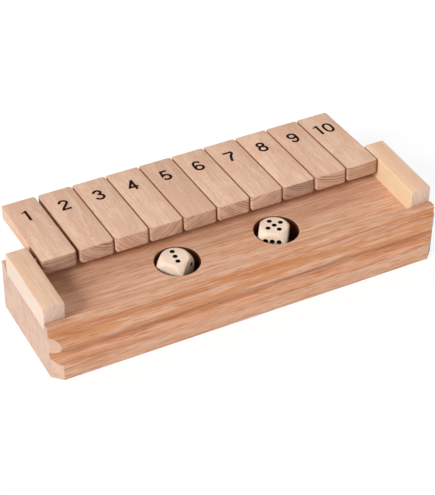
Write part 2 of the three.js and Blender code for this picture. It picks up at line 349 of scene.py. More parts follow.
class SawnWood(Shader):
    """One piece's wood under construction.

    Its patterns are read in millimetres, with the fibres along X and the log's heart on the X axis.
    """

    # How far the seed moves a piece along the log.
    seed_step = 40 * MM
    # The turns to the fibres between which a face comes to show end grain.
    end_turn = (0.35, 0.8)
    # The shares of a year between which late wood comes, and between which it stops.
    late_start = (0.25, 0.8)
    late_end = (1.0, 0.86)
    # How far a side faces along X to take its painted tone, and how far an upper edge faces along X and Z
    # to take it.
    rubbed_side = (0.75, 0.97)
    rubbed_edge = (0.2, 0.45)
    rubbed_rise = (0.15, 0.4)
    # How strong the streaks are at the front edge, and how much more often they come there.
    front_strength = 0.72
    front_share = 0.05
    # The levels of their noises between which dark years, fibres, streaks and patches come.
    year_level = (0.25, 0.6)
    fibre_level = (0.34, 0.66)
    streak_level = (0.59, 0.67)
    patch_level = (0.42, 0.66)
    # How far above the finish's own level the pores are full, and how far warmth lowers the streaks'.
    pore_step = 0.08
    warm_pull = 0.3
    # How much shorter than the fibres the pores are, and how many there are to the millimetre.
    pore_run = 1.5
    pore_scale = 1.5
    # What is left on end grain of the fibres' tone, and lost there of the pores and the relief.
    end_thread = 0.3
    end_loss = 0.7
    # How far the fibres change the roughness, how high they stand, and how glossy the wood is.
    rough_spread = 0.12
    grain_depth = 0.1 * MM
    gloss = 0.14

    def __init__(self, wood: WoodFinish, cut: Cut, grain: Grain, middle: Vector) -> None:
        """Starts the material and lays its patterns along the fibres.

        Args:
            wood: The finish.
            cut: Where in the log the piece was sawn.
            grain: The direction of its fibres.
            middle: The piece's middle.
        """
        super().__init__(wood.name)
        self.wood, self.cut = wood, cut
        turn = Euler(grain.value).to_matrix()
        self.fibre_axis = turn.transposed() @ X_AXIS
        turn = turn @ Matrix.Rotation(math.radians(cut.swerve), 3, "Z")
        angle = math.radians(cut.ring_angle)
        shift = cut.seed * self.seed_step
        heart = Vector((shift, math.sin(angle) * cut.heart, math.cos(angle) * cut.heart))
        self.along = self.node(
            "Mapping",
            {"vector_type": "POINT"},
            Vector=self.place,
            Rotation=turn.to_euler(),
            Location=(turn @ middle + heart) / -MM,
            Scale=[1 / MM] * 3,
        ).outputs["Vector"]

    def streamed(self, along: float, shift: float = 0.0) -> Socket:
        """Gives the piece's own place in a pattern that is drawn out along the fibres."""
        return self.stretched(self.along, along, self.cut.seed + shift)

    def ends(self) -> Socket:
        """Gives 1 where the surface cuts across the fibres."""
        facing = self.join("VectorMath", self.normal, self.fibre_axis, output=1, operation="DOT_PRODUCT")
        return self.ramp(self.math("ABSOLUTE", facing), *self.end_turn)

    def rings(self) -> Socket:
        """Gives the yearly rings.

        Returns:
            0 in the early wood, rising to 1 in the late wood.
        """
        flat = self.axes(self.along)
        squares = [self.math("POWER", flat[axis], 2.0) for axis in "YZ"]
        radius = self.math("SQRT", self.math("ADD", *squares))
        wander = self.noise(self.streamed(along=0.25), scale=0.02, detail=1.0, Roughness=0.35)
        radius = self.line(wander, self.wood.wobble, radius)
        ripple = self.noise(self.streamed(along=0.05), scale=0.3, detail=1.0)
        radius = self.line(ripple, slope=0.4, level=radius)
        years = self.math("DIVIDE", radius, self.wood.ring_pitch * self.cut.pitch / MM)
        years = self.line(self.drift(years, scale=0.45, detail=1.0), slope=1.2, level=years)
        phase = self.math("FRACT", years)
        late = self.times(self.ramp(phase, *self.late_start), self.ramp(phase, *self.late_end))
        return self.times(late, self.ramp(self.drift(years, scale=0.37, detail=0.0), *self.year_level))

    def fibres(self) -> tuple[Socket, Socket]:
        """Gives the fine fibres and the short dark pores, both stretched along the fibres.

        Returns:
            The fibres and the pores, each from 0 to 1.
        """
        wood = self.wood
        place = self.streamed(wood.fibre_run)
        fibre = self.noise(place, scale=1 / wood.fibre_size, detail=4.0, Roughness=0.65)
        place = self.streamed(wood.fibre_run * self.pore_run, shift=1)
        pore = self.noise(place, self.pore_scale, detail=1.0)
        pore = self.ramp(pore, wood.pore_level, wood.pore_level + self.pore_step)
        return self.ramp(fibre, *self.fibre_level), pore

    def streaks(self) -> tuple[Socket, Socket]:
        """Gives the redder streaks, as wide as streak_width, and the broad warm patches.

        Returns:
            How strong the streaks and the patches are.
        """
        wood = self.wood
        place = self.streamed(along=0.05, shift=2)
        streak = self.noise(place, scale=0.5 * MM / wood.streak_width, detail=5.0, Roughness=0.65)
        strength: object = wood.streak_strength
        if wood.warm_front:
            spot = self.axes(self.place)
            y, z = wood.warm_front
            front = self.times(
                self.ramp(spot["Y"], y + 0.5 * MM, y - 0.5 * MM),
                self.ramp(spot["Z"], z - 1 * MM, z + 2 * MM),
            )
            streak = self.line(front, self.front_share, streak)
            strength = self.line(front, self.front_strength - strength, strength)
        patch = self.noise(self.streamed(along=0.35, shift=3), scale=0.11, Roughness=0.55)
        pull = self.cut.warmth * self.warm_pull
        streak = self.ramp(streak, *(level - pull for level in self.streak_level))
        return self.times(streak, strength), self.ramp(patch, *self.patch_level)

    def rubbed(self, colour: Socket) -> Socket:
        """Paints the upright sides facing -X and +X, and their upper edges: painted shade in the tile gaps,
        painted light on a cheek's lit side.

        Args:
            colour: The wood's colour.

        Returns:
            The colour with its sides changed.
        """
        cut = self.cut
        facing, spot = self.axes(self.normal), self.axes(self.place)
        rise = self.ramp(facing["Z"], *self.rubbed_rise)
        sides = zip((-1, 1), cut.side_shares, cut.edge_shares, cut.side_rears)
        for sign, painted_side_share, painted_edge_share, rear in sides:
            if not painted_side_share:
                continue
            share = self.times(self.ramp(facing["X"], *(sign * x for x in self.rubbed_side)), painted_side_share)
            if painted_edge_share:
                edge = self.ramp(facing["X"], *(sign * x for x in self.rubbed_edge))
                share = self.math("MAXIMUM", share, self.times(edge, painted_edge_share, rise))
            # Only in front of the given Y: the left cheek's painted shadow on the side of tile 1.
            if rear:
                share = self.times(share, self.ramp(spot["Y"], rear + 1 * MM, rear - 1 * MM))
            colour = self.mix(share, colour, cut.side_tone)
        return colour

    def build(self) -> bpy.types.Material:
        """Joins the patterns into the wood.

        Returns:
            The material.
        """
        wood, cut = self.wood, self.cut
        end, ring = self.ends(), self.rings()
        fibre, pore = self.fibres()
        streak, patch = self.streaks()
        thread = self.times(self.math("SUBTRACT", 0.5, fibre), wood.fibre_strength)
        side = self.mix(self.line(ring, wood.ring_strength, thread), wood.pale, wood.dark)
        warm = self.math("MAXIMUM", streak, self.times(patch, wood.patch_strength))
        side = self.mix(warm, side, wood.streak)
        cloud = self.line(thread, self.end_thread, self.times(patch, wood.end_patch))
        late = self.line(ring, wood.end_ring_strength * cut.end_share, cloud)
        across = self.mix(late, wood.end_pale, wood.end_dark)
        colour = self.mix(end, side, across)
        # Painted shade in the gaps between tiles, and painted light on the side of a cheek that faces the
        # lamp from the left.
        if any(cut.side_shares):
            colour = self.rubbed(colour)
        kept = self.line(end, -self.end_loss, 1.0)
        colour = self.mix(self.times(pore, wood.pore_strength, kept), colour, wood.pore)
        colour = self.shade(colour, self.line(end, cut.tint * (cut.end_tint - 1), cut.tint))
        height = self.times(self.line(pore, -1.0, fibre), kept)
        return self.coat(
            Base_Color=colour,
            Roughness=self.line(fibre, self.rough_spread, wood.roughness - self.rough_spread / 2),
            Normal=self.bump(height, wood.relief, self.grain_depth),
            Specular_IOR_Level=self.gloss,
        )


@dataclass(frozen=True)
class InkFinish:
    """A black print or paint, matt, with a slight mottle."""

    name: str
    colour: Colour
    roughness: float
    mottle_scale: float = 900.0
    gloss: float = 0.06

    def material(self) -> bpy.types.Material:
        """Makes the material.

        Returns:
            The material.
        """
        shader = Shader(self.name)
        mottle = shader.noise(shader.place, self.mottle_scale, detail=3.0)
        return shader.coat(
            Base_Color=shader.shade(self.colour, shader.line(mottle, slope=0.8, level=0.6)),
            Roughness=shader.line(mottle, slope=0.2, level=self.roughness - 0.1),
            Specular_IOR_Level=self.gloss,
        )


@dataclass(frozen=True)
class BoredFinish:
    """The dark wall of a drilled well over end and side grain, with drill rings in its relief and painted
    light at its mouth.
    """

    name: str
    colour: Colour
    rim: Colour
    rim_height: float
    mottle_scale: float = 700.0
    ridge_scale: float = 420.0
    gloss: float = 0.08

    def material(self, rim_level: float) -> bpy.types.Material:
        """Makes the material.

        Args:
            rim_level: The height of the well's mouth.

        Returns:
            The material.
        """
        shader = Shader(self.name)
        mottle = shader.noise(shader.place, self.mottle_scale, detail=3.0)
        ridge = shader.node(
            "TexWave",
            {"bands_direction": "Z"},
            Vector=shader.place,
            Scale=self.ridge_scale,
            Distortion=1.5,
        ).outputs["Fac"]
        # Painted light: lighter in a band at the mouth, fading to the dark wall below as painted shade.
        near = shader.ramp(shader.axes(shader.place)["Z"], rim_level - self.rim_height, rim_level)
        colour = shader.mix(near, self.colour, self.rim)
        return shader.coat(
            Base_Color=shader.shade(colour, shader.line(mottle, slope=0.9, level=0.55)),
            Roughness=shader.line(mottle, slope=0.2, level=0.6),
            Normal=shader.bump(ridge, strength=0.3, depth=0.1 * MM),
            Specular_IOR_Level=self.gloss,
        )


@dataclass(frozen=True)
class SteelFinish:
    """Drawn steel wire: fine marks along its length."""

    name: str
    colour: Colour
    roughness: float
    mark_run: float = 0.03
    mark_scale: float = 6000.0

    def material(self) -> bpy.types.Material:
        """Makes the material.

        Returns:
            The material.
        """
        shader = Shader(self.name)
        place = shader.stretched(shader.place, self.mark_run)
        marks = shader.noise(place, self.mark_scale, detail=3.0)
        return shader.coat(
            Base_Color=shader.shade(self.colour, shader.line(marks, slope=0.4, level=0.8)),
            Roughness=shader.line(marks, slope=0.25, level=self.roughness - 0.1),
            Normal=shader.bump(marks, strength=0.2, depth=0.02 * MM),
            Metallic=1.0,
        )


TRAY_WOOD = WoodFinish(
    name="tray_wood",
    pale=(0.76, 0.465, 0.32), dark=(0.49, 0.205, 0.095), streak=(0.622, 0.25, 0.094),
    end_pale=(0.665, 0.465, 0.365), end_dark=(0.5, 0.305, 0.222), pore=(0.42, 0.15, 0.058),
    ring_pitch=1.1 * MM, ring_strength=0.6, streak_strength=0.35, pore_strength=0.5,
    fibre_strength=0.75, fibre_size=1.2, pore_level=0.56, wobble=10.0, end_patch=0.4,
    warm_front=(-33.2 * MM, 12 * MM),
)

TILE_WOOD = WoodFinish(
    name="tile_wood",
    pale=(0.8, 0.545, 0.393), dark=(0.62, 0.36, 0.235), streak=(0.7, 0.41, 0.28),
    end_pale=(0.585, 0.37, 0.26), end_dark=(0.27, 0.13, 0.08), pore=(0.5, 0.27, 0.16),
    ring_pitch=1.25 * MM, ring_strength=0.38, end_ring_strength=0.8, streak_width=2.5 * MM,
    streak_strength=0.7, pore_strength=0.35, fibre_strength=0.75, fibre_run=0.11, wobble=2.5,
    patch_strength=0.55,
)

CHEEK_WOOD = WoodFinish(
    name="cheek_wood",
    pale=(0.82, 0.58, 0.41), dark=(0.68, 0.39, 0.23), streak=(0.77, 0.46, 0.3),
    end_pale=(0.64, 0.46, 0.37), end_dark=(0.46, 0.3, 0.22), pore=(0.6, 0.33, 0.18),
    ring_pitch=3.6 * MM, ring_strength=0.26, end_ring_strength=0.36, streak_width=2.6 * MM,
    streak_strength=0.6, wobble=6.0, patch_strength=0.55,
)

DICE_WOOD = WoodFinish(
    name="dice_wood",
    pale=(0.89, 0.715, 0.57), dark=(0.83, 0.62, 0.475), streak=(0.86, 0.69, 0.515),
    end_pale=(0.89, 0.715, 0.57), end_dark=(0.82, 0.61, 0.47), pore=(0.6, 0.42, 0.26),
    ring_pitch=2.2 * MM, end_ring_strength=0.4, pore_strength=0.15, fibre_strength=0.3,
    roughness=0.4, relief=0.1,
)

PEG_WOOD = WoodFinish(
    name="peg_wood",
    pale=(0.68, 0.48, 0.27), dark=(0.55, 0.34, 0.17), streak=(0.6, 0.38, 0.2),
    end_pale=(0.5, 0.33, 0.19), end_dark=(0.38, 0.23, 0.12), pore=(0.36, 0.2, 0.09),
    ring_pitch=1.8 * MM, streak_strength=0.2, wobble=1.0,
)

NUMERAL_INK = InkFinish(name="numeral_ink", colour=(0.024, 0.007, 0.003), roughness=0.7)
PIP_PAINT = InkFinish(name="pip_paint", colour=(0.006, 0.004, 0.003), roughness=0.6)
WELL_WALL = BoredFinish(
    name="well_wall", colour=(0.14, 0.046, 0.018), rim=(0.26, 0.115, 0.06), rim_height=3 * MM
)
ROD_STEEL = SteelFinish(name="rod_steel", colour=(0.42, 0.36, 0.28), roughness=0.36)


# Mesh building


def solid_object(bm: Mesh, name: str, smooth_under: float = SMOOTH_UNDER) -> Thing:
    """Ends a mesh under construction as an object at the origin.

    Args:
        bm: The mesh, which is freed.
        name: The object's name.
        smooth_under: Edges that turn by less than this many degrees are shaded smooth.

    Returns:
        The object.
    """
    mesh = bpy.data.meshes.new(name)
    bmesh.ops.recalc_face_normals(bm, faces=bm.faces)
    bm.to_mesh(mesh)
    bm.free()
    mesh.shade_smooth()
    mesh.set_sharp_from_angle(angle=math.radians(smooth_under))
    thing = bpy.data.objects.new(name, mesh)
    bpy.context.scene.collection.objects.link(thing)
    return thing


def bevel(bm: Mesh, edges: list[bmesh.types.BMEdge], rounding: Rounding) -> None:
    """Rounds edges of a mesh under construction.

    Args:
        bm: The mesh.
        edges: The edges.
        rounding: How far the rounding reaches and how many flat steps it has.
    """
    offset, segments = rounding
    bmesh.ops.bevel(
        bm, geom=edges, offset=offset, segments=segments, profile=0.5, affect="EDGES", material=-1,
        clamp_overlap=True,
    )


def edges_along(bm: Mesh, axis: Vector) -> list[bmesh.types.BMEdge]:
    """Finds the edges of a mesh that run along an axis."""
    runs = ((edge, edge.verts[1].co - edge.verts[0].co) for edge in bm.edges)
    return [edge for edge, run in runs if abs(run.normalized().dot(axis)) > PARALLEL]


def rim_edges(bm: Mesh, axis: Vector, level: float) -> list[bmesh.types.BMEdge]:
    """Finds the edges of a mesh that lie in the plane across an axis at a level."""
    return [edge for edge in bm.edges if all(abs(vert.co.dot(axis) - level) < NEAR for vert in edge.verts)]


def block(low: Vector, high: Vector) -> Mesh:
    """Starts a mesh as a block.

    Args:
        low: Its lower corner.
        high: Its upper corner.

    Returns:
        The mesh.
    """
    bm = bmesh.new()
    bmesh.ops.create_cube(bm, size=1.0)
    bmesh.ops.scale(bm, vec=high - low, verts=bm.verts)
    bmesh.ops.translate(bm, vec=(high + low) / 2, verts=bm.verts)
    return bm


def bar(radius: float, start: Vector, end: Vector, ease: float = 0, sides: int = DRILL_SIDES) -> Mesh:
    """Starts a mesh as a round bar.

    Args:
        radius: The bar's radius.
        start: The centre of its first end.
        end: The centre of its other end.
        ease: The rounding of the end edges, or 0 for none.
        sides: How many sides the bar has.

    Returns:
        The mesh.
    """
    bm = bmesh.new()
    run = end - start
    bmesh.ops.create_cone(
        bm, cap_ends=True, segments=sides, radius1=radius, radius2=radius, depth=run.length
    )
    if ease > 0:
        caps = [edge for edge in bm.edges if abs(edge.verts[0].co.z - edge.verts[1].co.z) < NEAR]
        bevel(bm, caps, (ease, CAP_STEPS))
    turn = Z_AXIS.rotation_difference(run.normalized()).to_matrix()
    bmesh.ops.rotate(bm, cent=(0, 0, 0), matrix=turn, verts=bm.verts)
    bmesh.ops.translate(bm, vec=(start + end) / 2, verts=bm.verts)
    return bm


def peg_drill(node: str, foot: float, head: float) -> Mesh:
    """Makes the drill of a hidden peg's hole, from the height of its foot to that of its head."""
    x, y, _ = middle_of(node)
    return bar(PEG_BORE, Vector((x, y, foot)), Vector((x, y, head)))


def lathe(outline: list[Pair], centre: Vector, steps: int) -> Mesh:
    """Spins an outline round an upright axis.

    Args:
        outline: Points (distance from the axis, height) that start and end on the axis.
        centre: A point on the axis at height 0.
        steps: How many steps a full turn has.

    Returns:
        The mesh.
    """
    bm = bmesh.new()
    verts = [bm.verts.new((distance, 0, height)) for distance, height in outline]
    edges = [bm.edges.new(pair) for pair in zip(verts, verts[1:])]
    bmesh.ops.spin(
        bm, geom=verts + edges, cent=(0, 0, 0), axis=Z_AXIS, angle=math.tau, steps=steps,
        use_merge=True, use_duplicate=False,
    )
    bmesh.ops.remove_doubles(bm, verts=bm.verts, dist=NEAR)
    bmesh.ops.translate(bm, vec=centre, verts=bm.verts)
    bmesh.ops.recalc_face_normals(bm, faces=bm.faces)
    return bm


def combine(thing: Thing, cutters: list[Mesh], operation: str = "DIFFERENCE") -> None:
    """Cuts or joins an object with other solids, which are used up.

    Args:
        thing: The object that is changed.
        cutters: The solids. A cut face keeps the material index of the solid that made it.
        operation: DIFFERENCE, UNION or INTERSECT.
    """
    for bm in cutters:
        cutter = solid_object(bm, "cutter")
        modifier = thing.modifiers.new("cut", "BOOLEAN")
        modifier.object = cutter
        modifier.operation = operation
        modifier.solver = "EXACT"
        bake_modifiers(thing)
        bpy.data.meshes.remove(cutter.data)


def bake_modifiers(thing: Thing) -> None:
    """Makes what an object's modifiers show its real mesh.

    Args:
        thing: The object, which loses its modifiers.
    """
    depsgraph = bpy.context.evaluated_depsgraph_get()
    mesh = bpy.data.meshes.new_from_object(thing.evaluated_get(depsgraph))
    old = thing.data
    mesh.name = old.name + "_made"
    thing.modifiers.clear()
    thing.data = mesh
    bpy.data.meshes.remove(old)


def tidy_mesh(thing: Thing, smooth_under: float = SMOOTH_UNDER) -> None:
    """Merges doubled points, removes faces without area and sets which edges are sharp.

    Args:
        thing: The object.
        smooth_under: Edges that turn by less than this many degrees are shaded smooth.
    """
    bm = bmesh.new()
    bm.from_mesh(thing.data)
    bmesh.ops.remove_doubles(bm, verts=bm.verts, dist=MERGE)
    bmesh.ops.dissolve_degenerate(bm, edges=bm.edges, dist=NEAR)
    bm.to_mesh(thing.data)
    bm.free()
    thing.data.shade_smooth()
    thing.data.set_sharp_from_angle(angle=math.radians(smooth_under))


def dress(thing: Thing, *materials: bpy.types.Material) -> None:
    """Gives an object these materials in place of its own.

    Args:
        thing: The object.
        *materials: The materials.
    """
    thing.data.materials.clear()
    for material in materials:
        thing.data.materials.append(material)


def middle_of(node: str) -> Vector:
    """Gives the middle of a node of the frame."""
    low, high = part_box(node)
    return (low + high) / 2


class ProfilePen:
    """Draws a closed outline in the YZ plane with straight runs and spun arcs."""

    def __init__(self, x: float, y: float, z: float) -> None:
        """Starts the outline at a point.

        Args:
            x: The plane in which the outline lies.
            y: The point's Y.
            z: The point's Z.
        """
        self.bm = bmesh.new()
        self.x = x
        self.first = self.last = self.bm.verts.new((x, y, z))

    def line(self, y: float, z: float) -> None:
        """Draws a straight run.

        Args:
            y: The Y where it ends.
            z: The Z where it ends.
        """
        vert = self.bm.verts.new((self.x, y, z))
        self.bm.edges.new((self.last, vert))
        self.last = vert

    def arc(self, y: float, z: float, degrees: float, steps: int) -> None:
        """Spins the last point round a centre.

        Args:
            y: The centre's Y.
            z: The centre's Z.
            degrees: The turn, positive from +Y to +Z.
            steps: How many straight steps the arc has.
        """
        made = bmesh.ops.spin(
            self.bm, geom=[self.last], cent=(self.x, y, z), axis=X_AXIS, angle=math.radians(degrees),
            steps=steps, use_merge=False, use_duplicate=False,
        )
        self.last = made["geom_last"][0]

    def solid(self, length: float) -> Mesh:
        """Closes the outline, fills it and extrudes it along X.

        Args:
            length: How far it is extruded.

        Returns:
            The mesh.
        """
        self.bm.edges.new((self.last, self.first))
        bmesh.ops.remove_doubles(self.bm, verts=self.bm.verts, dist=FINE)
        filled = bmesh.ops.contextual_create(self.bm, geom=self.bm.edges[:])
        face = filled["faces"][0]
        grown = bmesh.ops.extrude_face_region(self.bm, geom=[face], use_keep_orig=True)
        moved = [item for item in grown["geom"] if isinstance(item, bmesh.types.BMVert)]
        bmesh.ops.translate(self.bm, vec=(length, 0, 0), verts=moved)
        bmesh.ops.recalc_face_normals(self.bm, faces=self.bm.faces)
        return self.bm


# Sub-assemblies


@dataclass
class Tray:
    """The moulded tray: a shallow channel with two lips, two wells and a moulded front edge."""

    front_lip: float = 5.6 * MM
    rear_lip: float = 6.8 * MM
    lip_setback: float = 7.6 * MM
    floor_drop: float = 4.7 * MM
    foot_height: float = 12.1 * MM
    cove_radius: float = 7 * MM
    cove_step: float = 1.6 * MM
    bead_radius: float = 5.8 * MM
    bead_setback: float = 0.5 * MM
    cove_degrees: float = 80.0
    lip_ease: float = 0.8 * MM
    lip_nose: float = 1.2 * MM
    foot_ease: float = 0.5 * MM
    foot_top_ease: float = 0.5 * MM
    rear_ease: float = 1.0 * MM
    ease_steps: int = 5
    nose_steps: int = 6
    hollow_steps: int = 8
    bead_steps: int = 28
    cove_steps: int = 18
    foot_top_steps: int = 4
    rear_corner: Rounding = (1.2 * MM, 4)
    corner_cut: float = 6.6 * MM
    well_radius: float = 15.25 * MM
    well_depth: float = 16 * MM
    well_ease: float = 0.4 * MM
    well_x: Pair = (-37.2 * MM, 35.6 * MM)
    well_from_front: float = 36.8 * MM
    well_steps: int = 96
    peg_gap: float = 0.3 * MM
    overrun: float = 2 * MM

    def __post_init__(self) -> None:
        """Reads the tray's outside from the frame."""
        self.low, self.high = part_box("base_block")
        self.floor = self.high.z - self.floor_drop

    def blank(self) -> Mesh:
        """Makes the tray's moulded run, before the corners are cut and the wells drilled.

        Returns:
            The run.
        """
        front, rear, top = self.low.y, self.high.y, self.high.z
        cove_z = self.foot_height + self.cove_radius
        bead_y = front + self.bead_setback + self.bead_radius
        bead_z = cove_z + self.cove_step + self.bead_radius
        lip = front + self.lip_setback
        hollow = lip - bead_y
        inner = lip + self.front_lip
        rear_inner = rear - self.rear_lip
        ease = self.lip_ease
        pen = ProfilePen(self.low.x, front, self.foot_ease)
        pen.arc(front + self.foot_ease, self.foot_ease, 90, self.nose_steps)
        pen.line(rear - self.rear_ease, 0)
        pen.arc(rear - self.rear_ease, self.rear_ease, 90, self.ease_steps)
        pen.line(rear, top - ease)
        pen.arc(rear - ease, top - ease, 90, self.ease_steps)
        pen.line(rear_inner + ease, top)
        pen.arc(rear_inner + ease, top - ease, 90, self.ease_steps)
        pen.line(rear_inner, self.floor)
        pen.line(inner, self.floor)
        pen.line(inner, top - ease)
        pen.arc(inner - ease, top - ease, 90, self.ease_steps)
        pen.line(lip + self.lip_nose, top)
        pen.arc(lip + self.lip_nose, top - self.lip_nose, 90, self.nose_steps)
        pen.line(lip, bead_z + self.bead_radius + hollow)
        pen.arc(bead_y, bead_z + self.bead_radius + hollow, -90, self.hollow_steps)
        pen.arc(bead_y, bead_z, 180, self.bead_steps)
        pen.line(front + self.cove_radius, bead_z - self.bead_radius)
        pen.line(front + self.cove_radius, cove_z)
        pen.arc(front, cove_z, -self.cove_degrees, self.cove_steps)
        foot_y, foot_z = front + self.foot_top_ease, self.foot_height - self.foot_top_ease
        pen.line(foot_y, self.foot_height)
        pen.arc(foot_y, foot_z, 90, self.foot_top_steps)
        return pen.solid(self.high.x - self.low.x)

    def cut_corners(self, bm: Mesh) -> None:
        """Cuts the two front corners off at 45 degrees and eases the rear ones.

        Args:
            bm: The tray's moulded run.
        """
        front = self.low.y
        for side, end in ((-1, self.low.x), (1, self.high.x)):
            cut = bmesh.ops.bisect_plane(
                bm, geom=bm.verts[:] + bm.edges[:] + bm.faces[:], dist=FINE,
                plane_co=(end - side * self.corner_cut, front, 0), plane_no=(side, -1, 0), clear_outer=True,
            )
            edges = [item for item in cut["geom_cut"] if isinstance(item, bmesh.types.BMEdge)]
            bmesh.ops.contextual_create(bm, geom=edges)
        for end in (self.low.x, self.high.x):
            corner = Vector((end, self.high.y))
            uprights = [
                edge for edge in edges_along(bm, Z_AXIS) if (edge.verts[0].co.xy - corner).length < NEAR
            ]
            bevel(bm, uprights, self.rear_corner)

    def wells(self) -> list[Mesh]:
        """Makes the two drills, whose walls take the second material.

        Returns:
            The drills.
        """
        mouth = self.well_radius + self.well_ease
        foot, head = self.floor - self.well_depth, self.floor + self.overrun
        outline = [(0, foot), (self.well_radius, foot), (self.well_radius, self.floor - self.well_ease)]
        outline += [(mouth, self.floor), (mouth, head), (0, head)]
        drills = []
        for x in self.well_x:
            bm = lathe(outline, Vector((x, self.low.y + self.well_from_front, 0)), self.well_steps)
            for face in bm.faces:
                face.material_index = int(face.calc_center_median().z < self.floor - self.well_ease)
            drills.append(bm)
        return drills

    def peg_holes(self) -> list[Mesh]:
        """Makes the drills of the four hidden peg holes."""
        head = self.high.z + self.overrun
        return [peg_drill(node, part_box(node)[0].z - self.peg_gap, head) for node in PEG_NODES]

    def build(self) -> Thing:
        """Builds and dresses the tray.

        Returns:
            The tray.
        """
        bm = self.blank()
        self.cut_corners(bm)
        tray = solid_object(bm, "tray")
        cut = Cut(ring_angle=120, heart=260 * MM, swerve=1.0, seed=1.2)
        wood = TRAY_WOOD.material(cut, Grain.ALONG_TRAY, middle_of("base_block"))
        dress(tray, wood, WELL_WALL.material(self.floor))
        combine(tray, self.wells() + self.peg_holes())
        tidy_mesh(tray)
        return settle(tray, "tray", "tray_wood", "base_block")


@dataclass
class Cheek:
    """One of the pale blocks that stand at the tray's ends and hold the rod."""

    side: str
    cut: Cut
    corner: Rounding = (1.6 * MM, 5)
    ease: Rounding = (1.1 * MM, 4)
    sink: float = 0.26 * MM
    bore_depth: float = 8.8 * MM
    peg_gap: float = 0.3 * MM
    overrun: float = 3.3 * MM

    def build(self) -> Thing:
        """Builds and dresses the cheek.

        Returns:
            The cheek.
        """
        node = f"{self.side}_end_block"
        low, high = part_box(node)
        low = low - Z_AXIS * self.sink
        bm = block(low, high)
        tops = [edge for edge in edges_along(bm, X_AXIS) if edge.verts[0].co.z > low.z + self.sink]
        bevel(bm, tops, self.corner)
        for level in (low.x, high.x):
            rims = [
                edge for edge in rim_edges(bm, X_AXIS, level)
                if max(vert.co.z for vert in edge.verts) > low.z + self.sink / 2
            ]
            bevel(bm, rims, self.ease)
        cheek = solid_object(bm, f"{self.side}_cheek")
        dress(cheek, CHEEK_WOOD.material(self.cut, Grain.ALONG_TILE, (low + high) / 2))
        combine(cheek, self.drills(low, high))
        tidy_mesh(cheek)
        return settle(cheek, "tray", "cheek_wood", node)

    def drills(self, low: Vector, high: Vector) -> list[Mesh]:
        """Makes the drills of the rod's blind hole and the two peg holes.

        Args:
            low: The cheek's lower corner.
            high: Its upper corner.

        Returns:
            The drills.
        """
        inner, inward = (high.x, 1) if self.side == "left" else (low.x, -1)
        _, y, z = middle_of("pivot_rod")
        deep = Vector((inner - inward * self.bore_depth, y, z))
        drills = [bar(ROD_BORE, deep, Vector((inner + inward * self.overrun, y, z)))]
        for place in ("front", "rear"):
            peg = f"{self.side}_{place}_dowel"
            drills.append(peg_drill(peg, low.z - self.overrun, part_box(peg)[1].z + self.peg_gap))
        return drills


